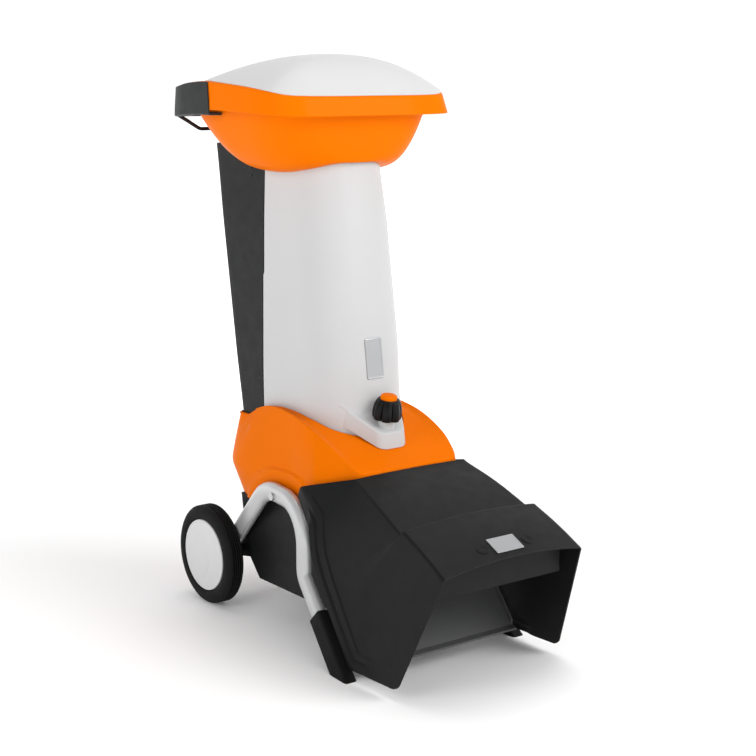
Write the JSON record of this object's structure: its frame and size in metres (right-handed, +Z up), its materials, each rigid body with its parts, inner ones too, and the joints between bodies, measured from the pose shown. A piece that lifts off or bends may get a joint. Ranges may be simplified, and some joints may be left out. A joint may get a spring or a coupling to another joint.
{
  "type": "garden shredder",
  "caption": "Upright electric garden shredder: lidded feed hopper on a tilting column, cutter base with forward discharge chute, tubular legs and transport wheels.",
  "frame": {"origin": "floor, midway between the front of the discharge hood and the back of the tyres, on the middle plane", "axes": "+Z up, front of the machine (discharge hood) towards -Y, +X to the right seen from behind"},
  "size_m": [0.466, 0.918, 1.196],
  "materials": {
    "orange_plastic": "moulded, semi-gloss orange",
    "pale_plastic": "moulded, semi-gloss light grey",
    "hub_plastic": "moulded, semi-gloss light grey",
    "dark_plastic": "moulded, fine texture",
    "black_plastic": "moulded, satin",
    "foot_rubber": "matt",
    "tyre_rubber": "matt, grooved",
    "leg_paint": "silver-grey powder coat",
    "black_paint": "satin black",
    "plate_metal": "brushed",
    "cast_alloy": "as cast",
    "bright_steel": "zinc plated",
    "blade_steel": "ground",
    "insert_brass": "turned",
    "start_green": "gloss",
    "stop_red": "gloss"
  },
  "bodies": {
    "base": {"base_tub": "dark_plastic", "base_cover": "orange_plastic", "ejection_chute": "black_plastic", "hood_plate": "plate_metal", "hood_discs": "black_plastic", "discharge_ramp": "dark_plastic", "leg_left": "leg_paint", "leg_right": "leg_paint", "foot_left": "foot_rubber", "foot_right": "foot_rubber", "leg_bolts": "bright_steel", "axle": "bright_steel", "axle_brackets": "black_plastic", "axle_clips": "bright_steel", "motor_housing": "cast_alloy", "motor_plate": "cast_alloy", "motor_capacitor": "black_plastic", "motor_bearings": "bright_steel", "chamber_ring": "cast_alloy", "counter_blade": "blade_steel", "feed_throat": "dark_plastic", "tilt_pin": "bright_steel", "lock_insert": "insert_brass", "interlock_switch": "black_plastic", "flap_pin": "bright_steel"},
    "column": {"column_front": "pale_plastic", "column_rear": "dark_plastic", "feed_liner": "dark_plastic", "column_screws": "bright_steel", "column_plate": "plate_metal", "hopper_bowl": "orange_plastic", "handle_grip": "black_plastic", "pull_bail": "black_paint", "bail_clips": "black_plastic", "lid_lugs": "orange_plastic", "lid_pin": "bright_steel", "switch_box": "dark_plastic", "power_inlet": "black_plastic"},
    "lid": {"hopper_lid": "pale_plastic"},
    "lock_carrier": {"thrust_washer": "bright_steel"},
    "lock_knob": {"lock_knob": "black_plastic", "knob_cap": "orange_plastic", "lock_stud": "bright_steel"},
    "start_button": {"start_button": "start_green"},
    "stop_button": {"stop_button": "stop_red"},
    "flap": {"deflector_flap": "dark_plastic"},
    "rotor": {"motor_shaft": "bright_steel", "rotor_core": "bright_steel", "cooling_fan": "black_plastic", "blade_disc": "blade_steel", "disc_blades": "blade_steel", "disc_nut": "bright_steel"},
    "wheel_left": {"tyre_left": "tyre_rubber", "rim_left": "dark_plastic", "hub_cap_left": "hub_plastic"},
    "wheel_right": {"tyre_right": "tyre_rubber", "rim_right": "dark_plastic", "hub_cap_right": "hub_plastic"}
  },
  "joints": [
    {"name": "column_tilt", "type": "hinge", "parent": "base", "child": "column", "pos_m": [0, 0.359, 0.454], "axis": [-1, 0, 0], "range_deg": [0, 85]},
    {"name": "lid_hinge", "type": "hinge", "parent": "column", "child": "lid", "pos_m": [0, 0.371, 1.146], "axis": [-1, 0, 0], "range_deg": [0, 105]},
    {"name": "lock_knob_lift", "type": "slide", "parent": "column", "child": "lock_carrier", "axis": [0, -0.1736, 0.9848], "range_m": [0, 0.012]},
    {"name": "lock_knob_turn", "type": "hinge", "parent": "lock_carrier", "child": "lock_knob", "pos_m": [0, -0.057, 0.453], "axis": [0, -0.1736, 0.9848], "range_deg": [0, 1440.2]},
    {"name": "start_button_press", "type": "slide", "parent": "column", "child": "start_button", "axis": [0, -0.9833, 0.1819], "range_m": [0, 0.004], "stiffness_N_per_m": 600},
    {"name": "stop_button_press", "type": "slide", "parent": "column", "child": "stop_button", "axis": [0, -0.9833, 0.1819], "range_m": [0, 0.004], "stiffness_N_per_m": 600},
    {"name": "discharge_flap_swing", "type": "hinge", "parent": "base", "child": "flap", "pos_m": [0, -0.414, 0.266], "axis": [-1, 0, 0], "range_deg": [0, 55]},
    {"name": "blade_spin", "type": "hinge", "parent": "base", "child": "rotor", "pos_m": [0, 0.134, 0.3], "axis": [0, 0, 1], "continuous": true},
    {"name": "wheel_left_spin", "type": "hinge", "parent": "base", "child": "wheel_left", "pos_m": [-0.179, 0.349, 0.11], "axis": [1, 0, 0], "continuous": true},
    {"name": "wheel_right_spin", "type": "hinge", "parent": "base", "child": "wheel_right", "pos_m": [0.179, 0.349, 0.11], "axis": [1, 0, 0], "continuous": true}
  ],
  "couplings": [
    {"joint": "lock_knob_turn", "follows": "lock_knob_lift", "rad_per_m": 2094.4}
  ]
}
